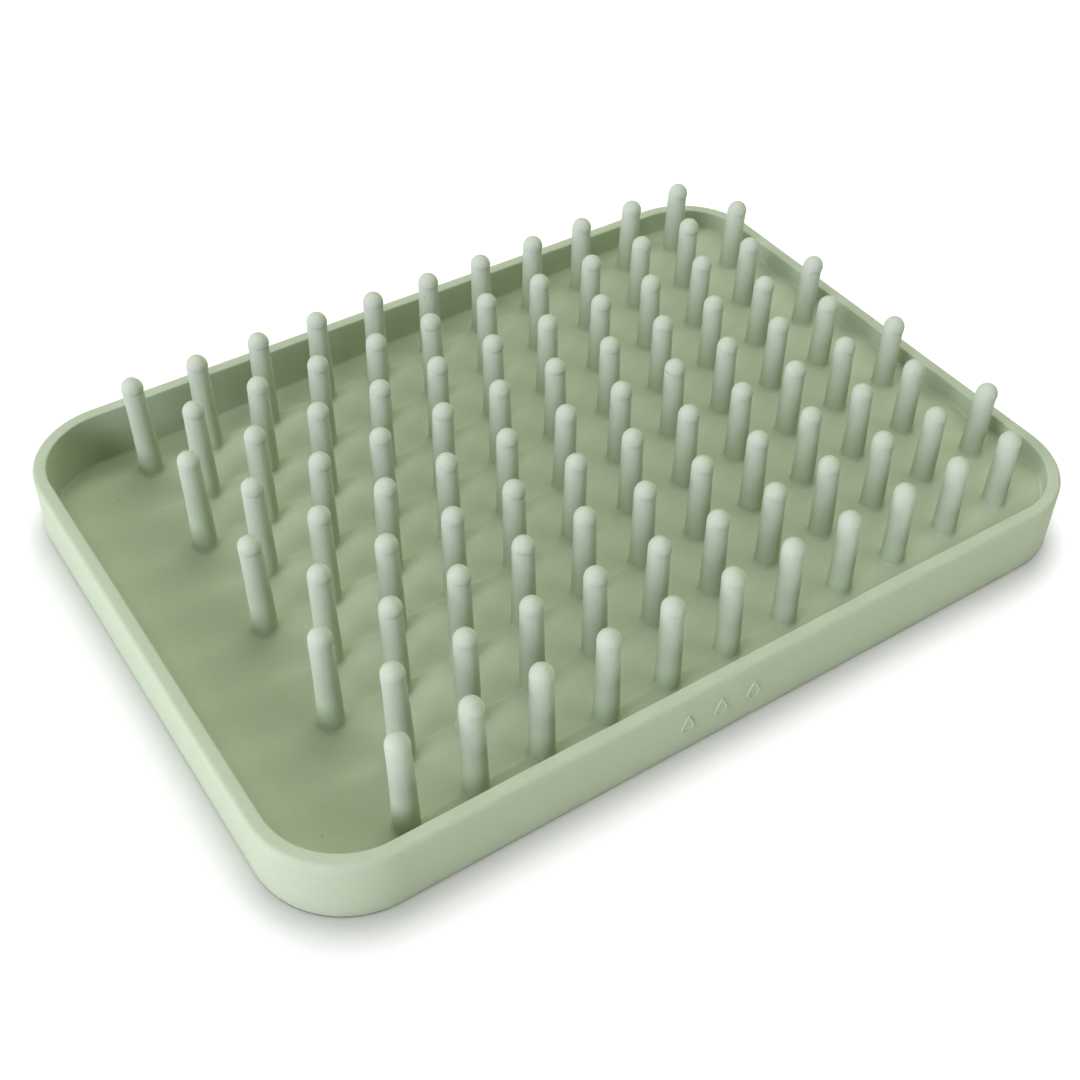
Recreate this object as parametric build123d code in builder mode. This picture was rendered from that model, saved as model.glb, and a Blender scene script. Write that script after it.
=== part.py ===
from build123d import *
from math import sqrt
import os

# Silicone drying rack for baby bottles: a shallow tray with rows of upright pegs.
# Units are millimetres. The origin is under the middle of the tray, on the surface it stands on.
# +X runs along the tray to its shallow end, +Y to its back, +Z up.

# ---- driving dimensions ----
tray_length = 288.0
tray_width = 209.0
corner_radius = 29.0
wall_height = 22.8
wall_thickness = 4.4
rim_outer_fillet = 1.2
rim_inner_fillet = 0.5
foot_fillet = 0.8

peg_rows = 9
pegs_per_row = 11
peg_pitch = 22.0
row_pitch = 21.65
first_peg_from_deep_end = 40.4
peg_root_radius = 4.05
peg_neck_radius = 3.42
peg_cap_radius = 3.55
peg_top = 42.4

reservoir_thickness = 2.4
slope_start_from_deep_end = 45.9
floor_rise = 12.4
ridge_height = 3.7
ridge_height_at_deep_end = 0.3
ridge_land = 0.8
cut_above_ridge = 5.0

rib_count = 4
rib_thickness = 3.0
rib_toe_height = 1.0

drop_count = 3
drop_spacing = 12.0
drop_radius = 2.3
drop_tip_height = 5.2
drop_relief = 0.4
emblem_centre_x = -10.0
emblem_centre_z = 10.4

# ---- places worked out from them ----
inner_half_length = tray_length / 2 - wall_thickness
inner_half_width = tray_width / 2 - wall_thickness
inner_corner_radius = corner_radius - wall_thickness
straight_length = tray_length - 2 * corner_radius
straight_width = tray_width - 2 * corner_radius
slope_start = slope_start_from_deep_end - tray_length / 2
slope = floor_rise / (inner_half_length - slope_start)
first_peg_x = first_peg_from_deep_end - tray_length / 2
first_row_y = -(peg_rows - 1) / 2 * row_pitch
crest_at_slope_start = reservoir_thickness + ridge_height
drop_shoulder_height = drop_radius**2 / drop_tip_height
drop_shoulder_half_width = sqrt(drop_radius**2 - drop_shoulder_height**2)

os.makedirs("parts", exist_ok=True)


def underside(x):
    """Height of the floor sheet's underside, which is flat up to the foot of the slope."""
    return max(0.0, slope * (x - slope_start))


def save(piece, name):
    """Label a finished piece and write it as its own STEP file."""
    piece.part.label = name
    export_step(piece.part, f"parts/{name}.step")


def wall_section(inner_offset):
    """Section of the wall: local X points outward, local Y up, the inner face at inner_offset."""
    with Locations((inner_offset, 0)):
        Rectangle(wall_thickness, wall_height, align=(Align.MIN, Align.MIN))
    foot_out = vertices().group_by(Axis.Y)[0].sort_by(Axis.X)[-1]
    rim_in, rim_out = vertices().group_by(Axis.Y)[-1].sort_by(Axis.X)
    fillet(foot_out, foot_fillet)
    fillet(rim_out, rim_outer_fillet)
    fillet(rim_in, rim_inner_fillet)


# ---- tray wall: four straight stretches and four rounded corners ----
straight_walls = {
    "front_wall": (Vector(0, -1, 0), inner_half_width, straight_length),
    "back_wall": (Vector(0, 1, 0), inner_half_width, straight_length),
    "left_wall": (Vector(-1, 0, 0), inner_half_length, straight_width),
    "right_wall": (Vector(1, 0, 0), inner_half_length, straight_width),
}
for name, (outward, inner_distance, length) in straight_walls.items():
    across = Plane(origin=(0, 0, 0), x_dir=outward, z_dir=outward.cross(Vector(0, 0, 1)))
    with BuildPart() as wall:
        with BuildSketch(across):
            wall_section(inner_distance)
        extrude(amount=length / 2, both=True)
    save(wall, name)

corner_walls = {
    "back_right_corner": (1, 1, 0),
    "back_left_corner": (-1, 1, 90),
    "front_left_corner": (-1, -1, 180),
    "front_right_corner": (1, -1, 270),
}
for name, (side_x, side_y, start_angle) in corner_walls.items():
    centre = (side_x * straight_length / 2, side_y * straight_width / 2, 0)
    outward = Vector(1, 0, 0).rotate(Axis.Z, start_angle)
    radial = Plane(origin=centre, x_dir=outward, z_dir=outward.cross(Vector(0, 0, 1)))
    with BuildPart() as corner:
        with BuildSketch(radial):
            wall_section(inner_corner_radius)
        revolve(axis=Axis(centre, (0, 0, 1)), revolution_arc=90)
    save(corner, name)


# ---- floor: a flat reservoir and a sloping sheet, both fluted between the peg rows ----
def floor_profile(points):
    """Side view of a stretch of floor, drawn in the XZ plane."""
    with BuildSketch(Plane.XZ) as profile:
        Polygon(*points, align=None)
    return profile.sketch


def flute_section(x, y, bottom, depth):
    """Section, at x, of the hollow channel between two ridges and the space above it."""
    half_width = (row_pitch - ridge_land) / 2
    left, right = (-half_width, bottom + depth), (half_width, bottom + depth)
    top = bottom + depth + cut_above_ridge
    with BuildSketch(Plane(origin=(x, y, 0), x_dir=(0, 1, 0), z_dir=(1, 0, 0))) as section:
        with BuildLine():
            ThreePointArc(left, (0, bottom), right)
            Polyline(right, (half_width, top), (-half_width, top), left)
        make_face()
    return section.sketch


channel_lines = [first_row_y + (channel - 0.5) * row_pitch for channel in range(peg_rows + 1)]
tray_space = (2 * inner_half_length, 2 * inner_half_width, inner_corner_radius)

with BuildPart() as reservoir_floor:
    with BuildSketch():
        RectangleRounded(*tray_space)
    extrude(amount=wall_height)
    flat_with_falling_ridges = floor_profile([
        (-inner_half_length, 0),
        (slope_start, 0),
        (slope_start, crest_at_slope_start),
        (-inner_half_length, reservoir_thickness + ridge_height_at_deep_end),
    ])
    extrude(flat_with_falling_ridges, amount=tray_width, both=True, mode=Mode.INTERSECT)
    for y in channel_lines:
        shallow = flute_section(-inner_half_length, y, reservoir_thickness, ridge_height_at_deep_end)
        full = flute_section(slope_start, y, reservoir_thickness, ridge_height)
        loft([shallow, full], mode=Mode.SUBTRACT)
save(reservoir_floor, "reservoir_floor")

with BuildPart() as draining_floor:
    with BuildSketch():
        RectangleRounded(*tray_space)
    extrude(amount=wall_height)
    sloping_sheet = floor_profile([
        (slope_start, 0),
        (inner_half_length, floor_rise),
        (inner_half_length, floor_rise + crest_at_slope_start),
        (slope_start, crest_at_slope_start),
    ])
    extrude(sloping_sheet, amount=tray_width, both=True, mode=Mode.INTERSECT)
    sheet_length = Vector(inner_half_length - slope_start, 0, floor_rise)
    for y in channel_lines:
        low_end = flute_section(slope_start, y, reservoir_thickness, ridge_height)
        extrude(low_end, amount=sheet_length.length, dir=sheet_length.normalized(), mode=Mode.SUBTRACT)
save(draining_floor, "draining_floor")

# ---- ribs under the raised end of the floor sheet ----
rib_start = slope_start + rib_toe_height / slope
for rib_number in range(1, rib_count + 1):
    rib_y = (rib_number - (rib_count + 1) / 2) * 2 * row_pitch
    with BuildPart() as rib:
        with BuildSketch(Plane.XZ.offset(-rib_y)):
            Polygon(
                (rib_start, 0),
                (inner_half_length, 0),
                (inner_half_length, underside(inner_half_length)),
                (rib_start, underside(rib_start)),
                align=None,
            )
        extrude(amount=rib_thickness / 2, both=True)
    save(rib, f"support_rib_{rib_number}")


# ---- pegs: one node a row, each peg its own solid standing on its ridge ----
def peg_section(x, y):
    """Half section of a tapered peg, with a domed cap a little wider than its neck."""
    foot_z = underside(x) + reservoir_thickness / 2
    neck_z = peg_top - peg_cap_radius
    with BuildSketch(Plane(origin=(x, y, 0), x_dir=(1, 0, 0), z_dir=(0, -1, 0))) as section:
        with BuildLine():
            Polyline(
                (0, peg_top),
                (0, foot_z),
                (peg_root_radius, foot_z),
                (peg_neck_radius, neck_z),
                (peg_cap_radius, neck_z),
            )
            JernArc(start=(peg_cap_radius, neck_z), tangent=(0, 1), radius=peg_cap_radius, arc_size=90)
        make_face()
    return section.sketch


for row in range(peg_rows):
    row_x = first_peg_x + (peg_pitch / 2 if row % 2 else 0)
    row_y = first_row_y + row * row_pitch
    with BuildPart() as peg_row:
        for place in range(pegs_per_row):
            x = row_x + place * peg_pitch
            revolve(peg_section(x, row_y), axis=Axis((x, row_y, 0), (0, 0, 1)))
        add(reservoir_floor.part, mode=Mode.SUBTRACT)
        add(draining_floor.part, mode=Mode.SUBTRACT)
    save(peg_row, f"peg_row_{row + 1}")

# ---- plain raised mark on the front wall: a row of water drops ----
with BuildPart() as drop_emblem:
    with BuildSketch(Plane.XZ.offset(tray_width / 2)):
        for drop in range(drop_count):
            drop_x = emblem_centre_x + (drop - (drop_count - 1) / 2) * drop_spacing
            with Locations((drop_x, emblem_centre_z)):
                Circle(drop_radius)
            with BuildLine():
                tip = (drop_x, emblem_centre_z + drop_tip_height)
                left = (drop_x - drop_shoulder_half_width, emblem_centre_z + drop_shoulder_height)
                right = (drop_x + drop_shoulder_half_width, emblem_centre_z + drop_shoulder_height)
                Polyline(left, right, tip, left)
            make_face()
    extrude(amount=drop_relief)
save(drop_emblem, "drop_emblem")
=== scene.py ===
import math

import bmesh
import bpy
import numpy as np
from mathutils import Matrix, Vector


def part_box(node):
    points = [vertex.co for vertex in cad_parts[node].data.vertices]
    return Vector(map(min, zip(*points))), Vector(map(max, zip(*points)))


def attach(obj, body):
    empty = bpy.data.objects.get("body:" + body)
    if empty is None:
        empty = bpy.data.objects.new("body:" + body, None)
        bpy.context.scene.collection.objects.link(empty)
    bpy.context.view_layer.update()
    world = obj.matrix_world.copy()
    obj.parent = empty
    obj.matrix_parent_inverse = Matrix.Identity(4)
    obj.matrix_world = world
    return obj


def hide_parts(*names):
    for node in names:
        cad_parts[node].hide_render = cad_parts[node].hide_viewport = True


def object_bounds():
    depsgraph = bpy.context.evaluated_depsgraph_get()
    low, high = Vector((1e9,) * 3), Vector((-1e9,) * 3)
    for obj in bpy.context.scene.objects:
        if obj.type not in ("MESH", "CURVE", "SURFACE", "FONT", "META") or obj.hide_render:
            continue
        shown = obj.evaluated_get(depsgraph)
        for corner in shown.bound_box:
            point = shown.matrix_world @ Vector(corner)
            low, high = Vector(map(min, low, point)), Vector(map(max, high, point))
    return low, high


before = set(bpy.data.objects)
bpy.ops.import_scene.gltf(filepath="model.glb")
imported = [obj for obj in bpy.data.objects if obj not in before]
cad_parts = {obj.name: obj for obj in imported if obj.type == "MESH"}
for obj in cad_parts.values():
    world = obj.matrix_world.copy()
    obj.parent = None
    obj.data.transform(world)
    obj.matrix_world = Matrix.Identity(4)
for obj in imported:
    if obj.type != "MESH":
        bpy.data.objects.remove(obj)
cad_low, cad_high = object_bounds()

# Silicone drying rack for baby bottles, one moulding: a shallow tray with rows of upright pegs.
# Units are metres, in the frame of the CAD model: +X runs to the shallow end, +Y to the back, +Z up.
MM = 0.001
WELD = 0.001 * MM
rng = np.random.default_rng(7)

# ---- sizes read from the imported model, with the few that its boxes don't show ----
front_low, front_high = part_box("front_wall")
corner_low, corner_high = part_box("back_right_corner")
_, reservoir_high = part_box("reservoir_floor")
drain_low, drain_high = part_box("draining_floor")

HALF_LENGTH = corner_high.x
HALF_WIDTH = corner_high.y
WALL = front_high.y - front_low.y
RIM_Z = front_high.z
INNER_X = HALF_LENGTH - WALL
INNER_Y = HALF_WIDTH - WALL
INNER_RADIUS = corner_high.x - corner_low.x - WALL

SHEET = 2.4 * MM
RIDGE = reservoir_high.z - SHEET
SLOPE_START = drain_low.x
SLOPE = (drain_high.z - reservoir_high.z) / (drain_high.x - drain_low.x)

ROWS = 9
PEGS = 11
PEG_PITCH = 22 * MM
PEG_TOP = cad_high.z
PEG_ROOT = 4.05 * MM
PEG_NECK = 3.42 * MM
PEG_CAP = 3.55 * MM
PEG_FOOT_Z = 1.2 * MM
row_boxes = [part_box(f"peg_row_{row + 1}") for row in range(ROWS)]
row_y = [round((low.y + high.y) / 2, 5) for low, high in row_boxes]
row_middle = [round((low.x + high.x) / 2, 4) for low, high in row_boxes]
row_x = [middle - (PEGS - 1) / 2 * PEG_PITCH for middle in row_middle]
ROW_PITCH = (row_y[-1] - row_y[0]) / (ROWS - 1)
HALF_ROW = ROW_PITCH / 2


# ---- unevenness of a soft moulding ----
WAVE_COUNT = 5
# how long the single waves are, as shares of the wavelength asked for
WAVE_LENGTHS = (0.7, 1.6)


def smooth_step(value, start, end):
    """0 up to start, 1 from end on, and a smooth rise between them."""
    share = np.clip((value - start) / (end - start), 0.0, 1.0)
    return share * share * (3 - 2 * share)


def slow_waves(x, y, seed, wavelength):
    """A gentle unevenness between -1 and 1, from a few crossing sine waves."""
    waves = np.random.default_rng(seed)
    total = np.zeros_like(x)
    for _ in range(WAVE_COUNT):
        heading = waves.uniform(0, 2 * math.pi)
        length = wavelength * waves.uniform(*WAVE_LENGTHS)
        phase = waves.uniform(0, 2 * math.pi)
        along = x * math.cos(heading) + y * math.sin(heading)
        total = total + np.sin(along * 2 * math.pi / length + phase)
    return total / WAVE_COUNT


# ---- the floor as a height over x, y ----
SLOPE_BEND = 5 * MM
FLOOR_UNEVENNESS = 0.07 * MM
FLOOR_WAVELENGTH = 48 * MM
# the ridges' height as a share of the CAD model's, and the stretches of x where it grows and shrinks
RIDGE_SHARE = 0.48
RIDGE_GROWTH = 0.14
RIDGE_GROWS = (-132 * MM, -62 * MM)
RIDGE_LOSS = 0.12
RIDGE_SHRINKS = (-20 * MM, 50 * MM)
# the stretches of x where soft waves turn into cusped ridges and back
CUSPS_START = (-118 * MM, -76 * MM)
CUSPS_END = (-20 * MM, 60 * MM)
CUSP_POWER = 3
SOFT_HEIGHT = 0.85
SOFT_SHARE = 0.8
# rounding of the crests in millimetres: everywhere, added towards the middle, and added where they are soft
CREST_ROUNDING = 0.45
MIDDLE_ROUNDING = 0.5
MIDDLE_WIDENS = (-60 * MM, 0)
SOFT_ROUNDING = 1.4


def floor_z(x, y):
    """Top of the floor: a flat reservoir, a slope, and ridges under the rows of pegs."""
    x, y = np.asarray(x, float), np.asarray(y, float)
    past = x - SLOPE_START
    ramp = (past + np.sqrt(past**2 + SLOPE_BEND**2)) / 2
    base = SHEET + SLOPE * ramp
    grown = RIDGE_SHARE + RIDGE_GROWTH * smooth_step(x, *RIDGE_GROWS)
    share = grown - RIDGE_LOSS * smooth_step(x, *RIDGE_SHRINKS)
    soft = 1 - smooth_step(x, *CUSPS_START) + smooth_step(x, *CUSPS_END)
    away = np.abs((y - row_y[0] + HALF_ROW) % ROW_PITCH - HALF_ROW)
    widened = CREST_ROUNDING + MIDDLE_ROUNDING * smooth_step(x, *MIDDLE_WIDENS)
    rounding = (widened + SOFT_ROUNDING * soft) * MM
    from_line = np.sqrt(away**2 + rounding**2) - rounding
    cusp = np.clip(1 - from_line / HALF_ROW, 0, 1) ** CUSP_POWER
    wave = 0.5 + 0.5 * np.cos(math.pi * away / HALF_ROW)
    crest = cusp + (SOFT_HEIGHT * wave - cusp) * SOFT_SHARE * soft
    uneven = FLOOR_UNEVENNESS * slow_waves(x, y, 3, FLOOR_WAVELENGTH)
    return base + RIDGE * share * crest + uneven


def underside_z(x):
    """Underside of the floor sheet, which is flat up to the foot of the slope."""
    return SLOPE * np.maximum(0.0, np.asarray(x, float) - SLOPE_START)


# ---- materials ----
# painted light: heights between which the colour turns paler, standing in for the brighter light on the
# pegs' tips
PAINTED_LIGHT_FROM_Z = 18 * MM
PAINTED_LIGHT_TO_Z = 38 * MM


def node(tree, kind, **inputs):
    """Add a node and set the sockets named, with _ for a space."""
    made = tree.nodes.new(kind)
    for name, value in inputs.items():
        made.inputs[name.replace("_", " ")].default_value = value
    return made


def noise(tree, coords, scale, detail):
    made = node(tree, "ShaderNodeTexNoise", Scale=scale, Detail=detail, Roughness=0.5)
    tree.links.new(coords, made.inputs["Vector"])
    return made.outputs["Fac"]


def spread(tree, value, low, high, from_low=0.3, from_high=0.7):
    """Map a value from one range onto another. Noise mostly lies between 0.3 and 0.7."""
    made = tree.nodes.new("ShaderNodeMapRange")
    made.inputs["From Min"].default_value = from_low
    made.inputs["From Max"].default_value = from_high
    made.inputs["To Min"].default_value = low
    made.inputs["To Max"].default_value = high
    tree.links.new(value, made.inputs["Value"])
    return made.outputs["Result"]


def mix_colour(tree, factor, first, second):
    made = tree.nodes.new("ShaderNodeMix")
    made.data_type = "RGBA"
    tree.links.new(factor, made.inputs["Factor"])
    for socket, value in ((made.inputs["A"], first), (made.inputs["B"], second)):
        if isinstance(value, tuple):
            socket.default_value = value
        else:
            tree.links.new(value, socket)
    return made.outputs["Result"]


def shade(colour, factor):
    """The same colour made darker, still opaque."""
    return tuple(factor * channel for channel in colour[:3]) + (1.0,)


def silicone_material(name, colour, darker, painted_light_colour):
    """Matte moulded silicone: cloudy colour, painted light that makes it paler high up, a fine tooth and a
    few specks of dust.
    """
    material = bpy.data.materials.new(name)
    material.use_nodes = True
    tree = material.node_tree
    shader = tree.nodes["Principled BSDF"]
    coords = tree.nodes.new("ShaderNodeTexCoord").outputs["Object"]

    cloud = spread(tree, noise(tree, coords, scale=22.0, detail=3.0), low=0.0, high=1.0)
    base = mix_colour(tree, cloud, colour, darker)
    height = tree.nodes.new("ShaderNodeSeparateXYZ")
    tree.links.new(coords, height.inputs["Vector"])
    # painted light: the colour grows paler with height up to the pegs' tips, for the light the tips catch
    painted_light = spread(tree, height.outputs["Z"], 0.0, 1.0, PAINTED_LIGHT_FROM_Z, PAINTED_LIGHT_TO_Z)
    base = mix_colour(tree, painted_light, base, painted_light_colour)
    grain = spread(tree, noise(tree, coords, scale=900.0, detail=2.0), low=0.0, high=0.10)
    base = mix_colour(tree, grain, base, shade(darker, 0.7))
    specks = tree.nodes.new("ShaderNodeTexVoronoi")
    specks.inputs["Scale"].default_value = 55.0
    tree.links.new(coords, specks.inputs["Vector"])
    dust = spread(tree, specks.outputs["Distance"], low=0.55, high=0.0, from_low=0.012, from_high=0.022)
    base = mix_colour(tree, dust, base, shade(darker, 0.35))
    tree.links.new(base, shader.inputs["Base Color"])

    roughness = spread(tree, noise(tree, coords, scale=140.0, detail=4.0), low=0.58, high=0.70)
    tree.links.new(roughness, shader.inputs["Roughness"])
    shader.inputs["Subsurface Weight"].default_value = 0.30
    shader.inputs["Subsurface Radius"].default_value = (0.5, 1.0, 0.45)
    shader.inputs["Subsurface Scale"].default_value = 0.9 * MM
    shader.inputs["IOR"].default_value = 1.41
    shader.inputs["Specular IOR Level"].default_value = 0.3

    fine = node(tree, "ShaderNodeBump", Strength=0.10, Distance=0.05 * MM)
    tree.links.new(noise(tree, coords, scale=5200.0, detail=2.0), fine.inputs["Height"])
    soft = node(tree, "ShaderNodeBump", Strength=0.20, Distance=0.12 * MM)
    tree.links.new(noise(tree, coords, scale=260.0, detail=3.0), soft.inputs["Height"])
    tree.links.new(fine.outputs["Normal"], soft.inputs["Normal"])
    tree.links.new(soft.outputs["Normal"], shader.inputs["Normal"])
    return material


silicone = silicone_material(
    "sage_silicone",
    colour=(0.420, 0.496, 0.320, 1),
    darker=(0.405, 0.482, 0.306, 1),
    # the paler colour is painted light on the pegs' tips
    painted_light_colour=(0.480, 0.542, 0.392, 1),
)


# ---- tools for making pieces ----
def place(name, vertices, faces, nodes):
    """Make a smooth closed piece that stands for these CAD nodes."""
    mesh = bpy.data.meshes.new(name)
    mesh.from_pydata([tuple(map(float, vertex)) for vertex in vertices], [], faces)
    mesh.materials.append(silicone)
    work = bmesh.new()
    work.from_mesh(mesh)
    bmesh.ops.remove_doubles(work, verts=work.verts, dist=WELD)
    bmesh.ops.dissolve_degenerate(work, dist=WELD, edges=work.edges)
    bmesh.ops.recalc_face_normals(work, faces=work.faces)
    for face in work.faces:
        face.smooth = True
    work.to_mesh(mesh)
    work.free()
    piece = bpy.data.objects.new(name, mesh)
    bpy.context.scene.collection.objects.link(piece)
    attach(piece, "root")
    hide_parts(*nodes)


class Patch:
    """Collects the vertices and faces of a piece."""

    def __init__(self):
        self.vertices = []
        self.faces = []

    def ring(self, points):
        """Add points and return their numbers."""
        start = len(self.vertices)
        self.vertices.extend(points)
        return list(range(start, start + len(points)))

    def bridge(self, first, second, closed=True):
        """Join two rings, or two open rows, by a strip of faces."""
        count = len(first)
        for here in range(count if closed else count - 1):
            after = (here + 1) % count
            self.faces.append((first[here], first[after], second[after], second[here]))

    def skin(self, rings, closed=True):
        """Join each ring to the next."""
        for first, second in zip(rings, rings[1:]):
            self.bridge(first, second, closed)

    def fan(self, ring, centre):
        """Close a ring with triangles that meet at its centre."""
        apex = self.ring([centre])[0]
        for here in range(len(ring)):
            self.faces.append((ring[here], ring[(here + 1) % len(ring)], apex))


# ---- floor ----
BURY = 1.5 * MM
# the floor's underside sits this far above the foot of the wall, so the two don't share a plane
FOOT_RECESS = 0.08 * MM
# the fillet round each peg's foot, and how far its top ring is tucked into the peg
COLLAR = 1.1 * MM
COLLAR_ANGLES = (90, 66, 44, 26, 12, 0)
COLLAR_TUCK = 0.03 * MM
# where the rings of a peg's share of the floor lie, from the fillet (0) to the border (1)
CELL_SHARES = (0.07, 0.17, 0.30, 0.46, 0.64, 0.82, 1.0)
SIDE_STEPS = 16
STEP_X = PEG_PITCH / SIDE_STEPS
REACH_X = INNER_X + BURY + 2 * STEP_X
# points along a border are closer together near the ridge line, where the floor is steepest
RIDGE_CROWDING = 1.45
spaced = np.linspace(-1, 1, SIDE_STEPS + 1)
SIDE_Y = HALF_ROW * np.sign(spaced) * np.abs(spaced) ** RIDGE_CROWDING
SIDE_X = PEG_PITCH / 2 * spaced
ON_OUTLINE = 1e-7


def cell_border():
    """Points round one peg's share of the floor, anticlockwise from the ridge line."""
    half = PEG_PITCH / 2
    right = [(half, y) for y in SIDE_Y]
    top = [(x, HALF_ROW) for x in SIDE_X[::-1]]
    left = [(-half, y) for y in SIDE_Y[::-1]]
    bottom = [(x, -HALF_ROW) for x in SIDE_X]
    middle = SIDE_STEPS // 2
    return np.array(right[middle:-1] + top[:-1] + left[:-1] + bottom[:-1] + right[:middle])


def peg_radius(z):
    """Radius of a peg's tapered shaft at this height."""
    along = np.clip((z - PEG_FOOT_Z) / (PEG_TOP - PEG_CAP - PEG_FOOT_Z), 0, 1)
    return PEG_ROOT + (PEG_NECK - PEG_ROOT) * along


def onto_outline(points):
    """Pull points that lie outside the floor's outline back onto it; also say which are on it now."""
    half = np.array([INNER_X + BURY, INNER_Y + BURY])
    radius = INNER_RADIUS + BURY
    points = np.array(points, float)
    beyond = np.maximum(np.abs(points) - (half - radius), 0)
    reach = np.linalg.norm(beyond, axis=1)
    outside = reach > radius + ON_OUTLINE
    scale = radius / np.maximum(reach, radius)
    pulled = np.sign(points) * (np.minimum(np.abs(points), half - radius) + beyond * scale[:, None])
    return np.where(outside[:, None], pulled, points), reach >= radius - ON_OUTLINE


def lift(points, extra=0.0):
    """Put flat points on the top of the floor, or extra above it."""
    points = np.asarray(points)
    heights = floor_z(points[:, 0], points[:, 1]) + extra
    return [(x, y, z) for (x, y), z in zip(points, heights)]


def add_cell(patch, centre, border):
    """One peg's share of the floor: a fillet at the peg's foot, then rings out to the border."""
    directions = border / np.linalg.norm(border, axis=1)[:, None]
    foot_height = float(floor_z(*centre))
    root = peg_radius(foot_height)
    rings = []
    for angle in np.radians(COLLAR_ANGLES):
        tuck = 0 if rings else COLLAR_TUCK
        reach = root + COLLAR * (1 - math.sin(angle)) - tuck
        rings.append(patch.ring(lift(centre + directions * reach, COLLAR * (1 - math.cos(angle)))))
    foot = directions * (root + COLLAR)
    for share in CELL_SHARES:
        rings.append(patch.ring(lift(centre + foot * (1 - share) + border * share)))
    patch.skin(rings)
    patch.fan(rings[0], (centre[0], centre[1], foot_height + COLLAR))


def add_columns(patch, x_values, y_values):
    """A plain stretch of floor over a grid of places."""
    patch.skin([patch.ring(lift([(x, y) for y in y_values])) for x in x_values], closed=False)


def add_ends(patch, row):
    """The floor beyond a row's first and last pegs, as far as the end walls."""
    y_values = row_y[row] + SIDE_Y
    left_edge = row_x[row] - PEG_PITCH / 2
    right_edge = row_x[row] + (PEGS - 0.5) * PEG_PITCH
    left_count = math.ceil((left_edge + REACH_X) / STEP_X)
    right_count = math.ceil((REACH_X - right_edge) / STEP_X)
    add_columns(patch, [left_edge - step * STEP_X for step in range(left_count, -1, -1)], y_values)
    add_columns(patch, [right_edge + step * STEP_X for step in range(right_count + 1)], y_values)


def add_side(patch, side):
    """The floor beyond the outermost row of one side, -1 or 1, as far as the long wall."""
    start = row_x[0] - PEG_PITCH / 2
    before = math.ceil((start + REACH_X) / STEP_X)
    after = math.ceil((REACH_X - start) / STEP_X)
    x_values = [start + step * STEP_X for step in range(-before, after + 1)]
    edge = (row_y[0] - HALF_ROW) if side < 0 else (row_y[-1] + HALF_ROW)
    outer = side * (INNER_Y + BURY)
    add_columns(patch, x_values, [edge, (edge + outer) / 2, outer])


def trim(patch):
    """The patch as a mesh that ends at the floor's outline."""
    pulled, on_edge = onto_outline([(x, y) for x, y, _ in patch.vertices])
    work = bmesh.new()
    corners = [work.verts.new((x, y, z)) for (x, y), (_, _, z) in zip(pulled, patch.vertices)]
    for face in patch.faces:
        if not all(on_edge[corner] for corner in face):
            work.faces.new([corners[corner] for corner in face])
    bmesh.ops.remove_doubles(work, verts=work.verts, dist=2 * WELD)
    loose = [vertex for vertex in work.verts if not vertex.link_faces]
    bmesh.ops.delete(work, geom=loose, context="VERTS")
    return work


def open_edge(work):
    """The vertices round the mesh's open edge, in order."""
    rim = [edge for edge in work.edges if len(edge.link_faces) == 1]
    neighbours = {}
    for edge in rim:
        first, second = edge.verts
        neighbours.setdefault(first, []).append(second)
        neighbours.setdefault(second, []).append(first)
    loop = [rim[0].verts[0]]
    previous = None
    while True:
        following = [vertex for vertex in neighbours[loop[-1]] if vertex is not previous]
        previous = loop[-1]
        if following[0] is loop[0] or len(loop) > len(rim):
            break
        loop.append(following[0])
    return loop


def close_below(work):
    """Add the floor's edge and its underside, flat under the reservoir and sloping from there on."""
    upper = open_edge(work)
    lower = []
    for vertex in upper:
        x, y, _ = vertex.co
        lower.append(work.verts.new((x, y, float(underside_z(x)) + FOOT_RECESS)))
    for here in range(len(upper)):
        after = (here + 1) % len(upper)
        work.faces.new((upper[here], upper[after], lower[after], lower[here]))
    flat = [vertex.co.x <= SLOPE_START for vertex in lower]
    first, second = [here for here in range(len(lower)) if flat[here] != flat[here - 1]]
    work.faces.new(lower[first:second + 1])
    work.faces.new(lower[second:] + lower[:first + 1])


def build_floor():
    patch = Patch()
    border = cell_border()
    for row in range(ROWS):
        for peg in range(PEGS):
            add_cell(patch, np.array([row_x[row] + peg * PEG_PITCH, row_y[row]]), border)
    for row in range(ROWS):
        add_ends(patch, row)
    for side in (-1, 1):
        add_side(patch, side)
    work = trim(patch)
    close_below(work)
    work.verts.index_update()
    vertices = [tuple(vertex.co) for vertex in work.verts]
    faces = [tuple(vertex.index for vertex in face.verts) for face in work.faces]
    work.free()
    place("tray_floor", vertices, faces, ["reservoir_floor", "draining_floor"])


# ---- wall ring ----
COVE = 0.9 * MM
RIM_OUTER = 1.2 * MM
RIM_INNER = 0.5 * MM
FOOT = 0.8 * MM
TOE_DEPTH = 0.9 * MM
TOE_GAP = 0.02 * MM
RIM_CROWN = 0.03 * MM
CORNER_STEPS = 30
STATION_SPACING = 1.3 * MM
# where a section's points lie along its three flat stretches and under its foot, from 0 to 1
INNER_SHARES = (0.25, 0.5, 0.75, 0.93)
RIM_SHARES = (0.12, 0.5, 0.88)
OUTER_SHARES = (0.08, 0.3, 0.5, 0.7, 0.92)
UNDER_SHARE = 0.4
# a soft wall waves near its rim, keeps still near its foot, and is pressed in at one place in front
WALL_BOW = 0.22 * MM
WALL_BOW_LENGTH = 95 * MM
RIM_LIFT = 0.10 * MM
RIM_LIFT_LENGTH = 120 * MM
STILL_FOOT = 4 * MM
FRONT_FROM_Y = -INNER_Y * 0.7
DENT = 0.35 * MM
DENT_X = 62 * MM
DENT_REACH = 22 * MM
STILL_REACH = 24 * MM
drops_low, drops_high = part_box("drop_emblem")
EMBLEM_X = (drops_low.x + drops_high.x) / 2


def unit(degrees):
    angle = math.radians(degrees)
    return np.array([math.cos(angle), math.sin(angle)])


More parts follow.
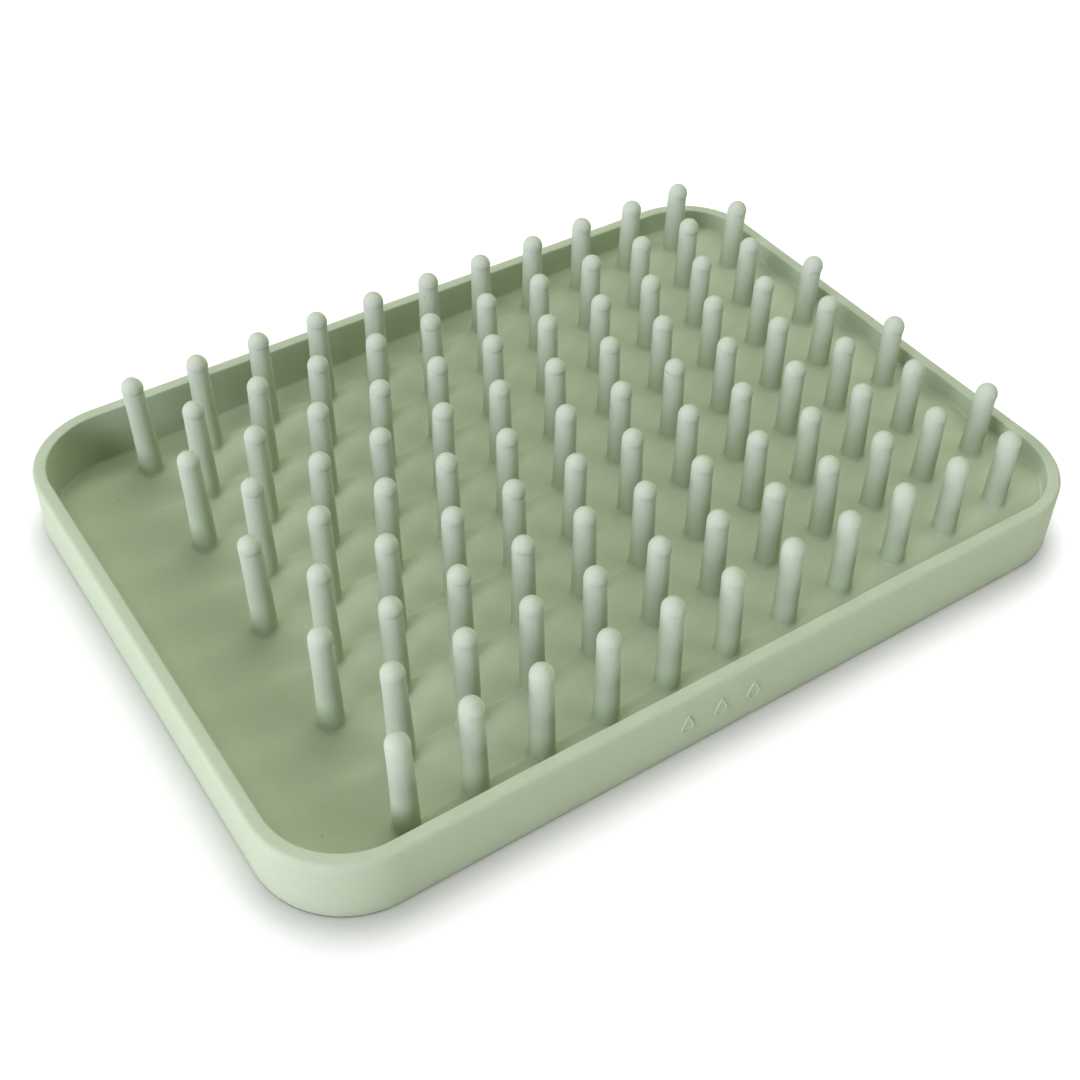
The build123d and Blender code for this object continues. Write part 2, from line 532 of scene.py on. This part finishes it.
def outline_stations():
    """Points and outward directions round the inner face of the wall, anticlockwise."""
    stations = []
    straight_x, straight_y = INNER_X - INNER_RADIUS, INNER_Y - INNER_RADIUS
    runs = [
        ((INNER_X, -straight_y), (INNER_X, straight_y), 0),
        ((straight_x, INNER_Y), (-straight_x, INNER_Y), 90),
        ((-INNER_X, straight_y), (-INNER_X, -straight_y), 180),
        ((-straight_x, -INNER_Y), (straight_x, -INNER_Y), 270),
    ]
    for start, end, degrees in runs:
        start, end = np.array(start), np.array(end)
        outward = unit(degrees)
        count = math.ceil(np.linalg.norm(end - start) / STATION_SPACING)
        for step in range(count):
            stations.append((start + (end - start) * step / count, outward))
        centre = end - outward * INNER_RADIUS
        for step in range(CORNER_STEPS):
            turned = unit(degrees + 90 * step / CORNER_STEPS)
            stations.append((centre + turned * INNER_RADIUS, turned))
    return stations


def arc(centre, radius, start, end, steps):
    """Points along an arc, with its ends in degrees."""
    for step in range(steps + 1):
        angle = math.radians(start + (end - start) * step / steps)
        yield centre[0] + radius * math.cos(angle), centre[1] + radius * math.sin(angle)


def wall_profile(floor_here):
    """Section of the wall as (distance outward from the inner face, height)."""
    foot_of_inner = floor_here + COVE
    inner_height = RIM_Z - RIM_INNER - foot_of_inner
    rim_width = WALL - RIM_INNER - RIM_OUTER
    top_of_outer = RIM_Z - RIM_OUTER
    points = [(-COVE, floor_here - TOE_DEPTH), (-COVE, floor_here - TOE_GAP)]
    points += arc((-COVE, foot_of_inner), COVE, -75, 0, 5)
    points += [(0, foot_of_inner + inner_height * share) for share in INNER_SHARES]
    points += arc((RIM_INNER, RIM_Z - RIM_INNER), RIM_INNER, 180, 90, 4)
    for share in RIM_SHARES:
        points.append((RIM_INNER + rim_width * share, RIM_Z + RIM_CROWN * math.sin(math.pi * share)))
    points += arc((WALL - RIM_OUTER, top_of_outer), RIM_OUTER, 90, 0, 7)
    points += [(WALL, top_of_outer - (top_of_outer - FOOT) * share) for share in OUTER_SHARES]
    points += arc((WALL - FOOT, FOOT), FOOT, 0, -90, 4)
    points += [(WALL * UNDER_SHARE, 0), (0, 0)]
    return points


def wall_bow(x, y):
    """How far the wall stands out of true at its rim: not at all at the drops, inward to their right."""
    gentle = WALL_BOW * slow_waves(x, y, 11, WALL_BOW_LENGTH)
    if y >= FRONT_FROM_Y:
        return gentle
    dent = -DENT * math.exp(-((x - DENT_X) / DENT_REACH) ** 2)
    still = 1 - math.exp(-((x - EMBLEM_X) / STILL_REACH) ** 4)
    return (gentle + dent) * still


def build_wall():
    patch = Patch()
    rings = []
    for point, outward in outline_stations():
        at_cove = point - outward * COVE
        bow = wall_bow(*point)
        rise = RIM_LIFT * slow_waves(np.array(point[0]), np.array(point[1]), 5, RIM_LIFT_LENGTH)
        ring = []
        for distance, z in wall_profile(float(floor_z(*at_cove))):
            height = max(0.0, min(1.0, (z - STILL_FOOT) / (RIM_Z - STILL_FOOT)))
            x, y = point + outward * (distance + bow * height * height)
            ring.append((x, y, z + rise * height * height))
        rings.append(patch.ring(ring))
    patch.skin(rings + rings[:1])
    walls = ["front_wall", "back_wall", "left_wall", "right_wall"]
    corners = [f"{end}_{side}_corner" for end in ("front", "back") for side in ("left", "right")]
    place("tray_wall", patch.vertices, patch.faces, walls + corners)


# ---- pegs ----
PEG_SIDES = 40
PEG_BURY = 1.2 * MM
# the tips stand a little off their feet: they splay outward along the tray, all lean back, and each strays
END_SPLAY = 2.7 * MM
BACK_LEAN = 0.76 * MM
STRAY = 0.25 * MM
# how steeply the lean grows up a peg, as a range of powers
BEND_POWERS = (1.2, 1.9)
SHAFT_STEPS = 13
SHAFT_FROM = 0.4 * MM
SHAFT_TO = 0.15 * MM
# a small ledge under the domed cap, with ranges in millimetres for how wide and how far down it is
LEDGE_WIDTHS = (0.05, 0.09)
LEDGE_DROPS = (0.4, 1.0)
LEDGE_NOTCH = (0.03 * MM, 0.01 * MM)
LEDGE_LIP = 0.8
LEDGE_RISE = 0.08 * MM
LEDGE_ZONE = 0.2 * MM
CAP_SHIFT = np.array([0.12, -0.07]) * MM
CAP_SHIFT_STRAY = 0.04 * MM
CAP_TILT_STRAY = 0.04
CAP_FOOT = 0.1 * MM
CAP_ANGLES = (12, 24, 36, 48, 59, 69, 78, 85)


def peg_levels(floor_here, neck_z, ledge):
    """Heights and radii up a peg, from below the floor to just under the top of its cap."""
    foot_z = floor_here - PEG_BURY
    neck = peg_radius(neck_z)
    notch_z, notch = LEDGE_NOTCH
    cap_z = PEG_TOP - PEG_CAP
    cap = max(PEG_CAP, neck + ledge)
    levels = [(foot_z, peg_radius(foot_z))]
    shaft = np.linspace(floor_here + SHAFT_FROM, neck_z - SHAFT_TO, SHAFT_STEPS)
    levels += [(z, peg_radius(z)) for z in shaft]
    levels += [
        (neck_z - notch_z, neck - notch),
        (neck_z, neck + ledge * LEDGE_LIP),
        (neck_z + LEDGE_RISE, neck + ledge),
        (cap_z - CAP_FOOT, cap),
    ]
    for angle in np.radians(CAP_ANGLES):
        levels.append((cap_z + PEG_CAP * math.sin(angle), cap * math.cos(angle)))
    return levels


def build_peg(patch, x, y):
    floor_here = float(floor_z(x, y))
    lean = np.array([END_SPLAY * (x / HALF_LENGTH) ** 3, BACK_LEAN]) + rng.normal(0, STRAY, 2)
    bend = rng.uniform(*BEND_POWERS)
    ledge = rng.uniform(*LEDGE_WIDTHS) * MM
    cap_tilt = rng.normal(0, CAP_TILT_STRAY, 2)
    cap_shift = CAP_SHIFT + rng.normal(0, CAP_SHIFT_STRAY, 2)
    neck_z = PEG_TOP - PEG_CAP - rng.uniform(*LEDGE_DROPS) * MM
    around = np.linspace(0, 2 * math.pi, PEG_SIDES, endpoint=False)

    def middle(z):
        """Centre of the peg at this height."""
        along = max(0.0, (z - floor_here) / (PEG_TOP - floor_here)) ** bend
        centre = np.array([x, y]) + lean * along
        return centre + cap_shift if z > neck_z else centre

    rings = []
    for z, radius in peg_levels(floor_here, neck_z, ledge):
        centre_x, centre_y = middle(z)
        tilt_x, tilt_y = cap_tilt if abs(z - neck_z) < LEDGE_ZONE else (0.0, 0.0)
        rings.append(patch.ring([
            (
                centre_x + radius * math.cos(angle),
                centre_y + radius * math.sin(angle),
                z + radius * (tilt_x * math.cos(angle) + tilt_y * math.sin(angle)),
            )
            for angle in around
        ]))
    patch.skin(rings)
    patch.fan(rings[0], (x, y, floor_here - PEG_BURY))
    patch.fan(rings[-1], (*middle(PEG_TOP), PEG_TOP))


def build_peg_row(row):
    patch = Patch()
    for peg in range(PEGS):
        build_peg(patch, row_x[row] + peg * PEG_PITCH, row_y[row])
    place(f"pegs_{row + 1}", patch.vertices, patch.faces, [f"peg_row_{row + 1}"])


# ---- ribs under the floor ----
RIBS = 4
RIB_STATIONS = 24
RIB_BURY = 0.3 * MM
RIB_EDGE = 0.5 * MM
RIB_EDGE_SHARE = 0.3


def build_rib(number):
    """A wedge between the ground and the floor, with eased lower edges."""
    low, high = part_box(f"support_rib_{number}")
    middle_y, half = (low.y + high.y) / 2, (high.y - low.y) / 2
    part_way = RIB_EDGE * RIB_EDGE_SHARE
    eased = [(half, RIB_EDGE), (half - part_way, part_way), (half - RIB_EDGE, 0)]
    patch = Patch()
    rings = []
    for x in np.linspace(low.x, high.x, RIB_STATIONS):
        down = [(half, float(underside_z(x)) + RIB_BURY)] + eased
        section = [(-across, z) for across, z in down] + down[::-1]
        rings.append(patch.ring([(x, middle_y + across, z) for across, z in section]))
    patch.skin(rings)
    patch.faces.append(tuple(rings[0][::-1]))
    patch.faces.append(tuple(rings[-1]))
    place(f"rib_{number}", patch.vertices, patch.faces, [f"support_rib_{number}"])


# ---- raised drops on the front wall ----
DROPS = 3
DROP_RADIUS = 2.3 * MM
DROP_ROUND_STEPS = 40
DROP_SIDE_STEPS = 8
DROP_BLUNT = 0.05 * MM
# section of a drop's raised edge: (how far in, as a share of the outline; how proud, in millimetres)
DROP_SECTION = (
    (0.0, -0.5),
    (0.0, 0.10),
    (0.015, 0.32),
    (0.06, 0.40),
    (0.17, 0.40),
    (0.22, 0.32),
    (0.25, 0.16),
    (0.32, 0.12),
    (0.6, 0.14),
)


def drop_outline(tip):
    """A round drop with straight shoulders that meet at a blunt tip, anticlockwise from the left."""
    shoulder = math.asin(DROP_RADIUS / tip)
    outline = []
    for angle in np.linspace(math.pi - shoulder, 2 * math.pi + shoulder, DROP_ROUND_STEPS):
        outline.append((DROP_RADIUS * math.cos(angle), DROP_RADIUS * math.sin(angle)))
    right_x, right_z = outline[-1]
    for share in np.linspace(0, 1, DROP_SIDE_STEPS)[1:-1]:
        outline.append((right_x * (1 - share), right_z + (tip - right_z) * share))
    outline.append((0.0, tip - DROP_BLUNT))
    for share in np.linspace(1, 0, DROP_SIDE_STEPS)[1:-1]:
        outline.append((-right_x * (1 - share), right_z + (tip - right_z) * share))
    return outline


def build_drops():
    patch = Patch()
    face_y = -HALF_WIDTH
    tip = drops_high.z - drops_low.z - DROP_RADIUS
    middle_z = drops_low.z + DROP_RADIUS
    spacing = (drops_high.x - drops_low.x - 2 * DROP_RADIUS) / (DROPS - 1)
    outline = drop_outline(tip)
    for drop in range(DROPS):
        middle_x = drops_low.x + DROP_RADIUS + drop * spacing
        rings = []
        for inset, proud in DROP_SECTION:
            rings.append(patch.ring([
                (middle_x + x * (1 - inset), face_y - proud * MM, middle_z + z * (1 - inset))
                for x, z in outline
            ]))
        patch.skin(rings)
        for ring, (_, proud) in ((rings[0], DROP_SECTION[0]), (rings[-1], DROP_SECTION[-1])):
            patch.fan(ring, (middle_x, face_y - proud * MM, middle_z))
    place("water_drops", patch.vertices, patch.faces, ["drop_emblem"])


# ---- floor of the studio ----
GROUND_REACH = 1.3
GROUND_CELLS = 8
GROUND_Z = -0.05 * MM


def pale_floor_material():
    material = bpy.data.materials.new("pale_floor")
    material.use_nodes = True
    tree = material.node_tree
    shader = tree.nodes["Principled BSDF"]
    coords = tree.nodes.new("ShaderNodeTexCoord").outputs["Object"]
    cloud = spread(tree, noise(tree, coords, scale=9.0, detail=2.0), low=0.0, high=1.0)
    base = mix_colour(tree, cloud, (0.95, 0.95, 0.95, 1), (0.94, 0.94, 0.94, 1))
    tree.links.new(base, shader.inputs["Base Color"])
    shader.inputs["Roughness"].default_value = 0.9
    shader.inputs["Specular IOR Level"].default_value = 0.1
    return material


def build_studio_floor():
    mesh = bpy.data.meshes.new("studio_floor")
    ticks = np.linspace(-GROUND_REACH, GROUND_REACH, GROUND_CELLS + 1)
    column = GROUND_CELLS + 1
    faces = []
    for across in range(GROUND_CELLS):
        for along in range(GROUND_CELLS):
            corner = across * column + along
            faces.append((corner, corner + column, corner + column + 1, corner + 1))
    mesh.from_pydata([(x, y, GROUND_Z) for x in ticks for y in ticks], [], faces)
    mesh.materials.append(pale_floor_material())
    ground = bpy.data.objects.new("studio_floor", mesh)
    bpy.context.scene.collection.objects.link(ground)
    return ground


# ---- light ----
LIGHT_DISTANCE = 3.0
LIGHT_AIM = Vector((0, 0, 0.02))
WHITE = (1.0, 1.0, 1.0)
WINDOW_BLUE = (0.77, 0.745, 1.0)
BACKDROP_SEEN = 1.0
BACKDROP_FILL = 0.05


def softbox(name, azimuth, elevation, size, power, colour=WHITE):
    """A rectangular area light, seen from the object in this direction, in degrees."""
    azimuth, elevation = math.radians(azimuth), math.radians(elevation)
    direction = Vector((
        math.cos(azimuth) * math.cos(elevation),
        math.sin(azimuth) * math.cos(elevation),
        math.sin(elevation),
    ))
    data = bpy.data.lights.new(name, "AREA")
    data.shape = "RECTANGLE"
    data.size, data.size_y = size
    data.energy = power
    data.color = colour
    lamp = bpy.data.objects.new(name, data)
    lamp.location = LIGHT_AIM + direction * LIGHT_DISTANCE
    lamp.rotation_mode = "QUATERNION"
    lamp.rotation_quaternion = direction.to_track_quat("Z", "Y")
    bpy.context.scene.collection.objects.link(lamp)
    return lamp


def link_light(lamp, name, ground, state):
    """Leave the studio floor out of a light (EXCLUDE), or light nothing else with it (INCLUDE)."""
    receivers = bpy.data.collections.new(name)
    receivers.objects.link(ground)
    receivers.collection_objects[0].light_linking.link_state = state
    lamp.light_linking.receiver_collection = receivers


def build_lights(ground):
    """The window leaves out the studio floor, so no long shadow falls behind; the sweep lights only it."""
    window = softbox("window", azimuth=195, elevation=20, size=(1.85, 0.92), power=112.0, colour=WINDOW_BLUE)
    softbox("overhead", azimuth=78, elevation=82, size=(3.2, 2.8), power=58.0)
    softbox("back_right", azimuth=45, elevation=35, size=(2.3, 1.15), power=23.0)
    softbox("back_left", azimuth=135, elevation=20, size=(2.3, 0.92), power=16.0)
    softbox("front_right", azimuth=318, elevation=35, size=(2.3, 1.4), power=23.0)
    sweep = softbox("sweep", azimuth=62, elevation=72, size=(1.5, 1.5), power=40.0)
    link_light(window, "window_flag", ground, "EXCLUDE")
    link_light(sweep, "sweep_target", ground, "INCLUDE")


def build_world():
    """A backdrop that is white to the camera and gives the object only a little light."""
    world = bpy.data.worlds.new("studio")
    world.use_nodes = True
    tree = world.node_tree
    background = tree.nodes["Background"]
    background.inputs["Color"].default_value = (*WHITE, 1)
    seen = tree.nodes.new("ShaderNodeLightPath").outputs["Is Camera Ray"]
    strength = tree.nodes.new("ShaderNodeMath")
    strength.operation = "MULTIPLY_ADD"
    strength.inputs[1].default_value = BACKDROP_SEEN - BACKDROP_FILL
    strength.inputs[2].default_value = BACKDROP_FILL
    tree.links.new(seen, strength.inputs[0])
    tree.links.new(strength.outputs[0], background.inputs["Strength"])
    bpy.context.scene.world = world


# ---- camera, placed where the photo was taken from ----
CAMERA_PLACE = (-0.2184, -0.3157, 0.3618)
HEADING = math.radians(34.27)
TILT = math.radians(41.8)
ROLL = math.radians(1.22)


def build_camera():
    data = bpy.data.cameras.new("camera")
    data.sensor_width = 36.0
    data.lens = 52.5
    data.shift_y = -0.0648
    camera = bpy.data.objects.new("camera", data)
    camera.location = CAMERA_PLACE
    view_direction = Vector((
        math.sin(HEADING) * math.cos(TILT),
        math.cos(HEADING) * math.cos(TILT),
        -math.sin(TILT),
    ))
    upright = view_direction.to_track_quat("-Z", "Y")
    camera.rotation_mode = "QUATERNION"
    camera.rotation_quaternion = upright @ Matrix.Rotation(ROLL, 3, "Z").to_quaternion()
    bpy.context.scene.collection.objects.link(camera)
    bpy.context.scene.camera = camera


# ---- the whole scene ----
build_floor()
build_wall()
for row in range(ROWS):
    build_peg_row(row)
for rib in range(1, RIBS + 1):
    build_rib(rib)
build_drops()
build_lights(build_studio_floor())
build_world()
build_camera()
bpy.context.scene.view_settings.view_transform = "Standard"
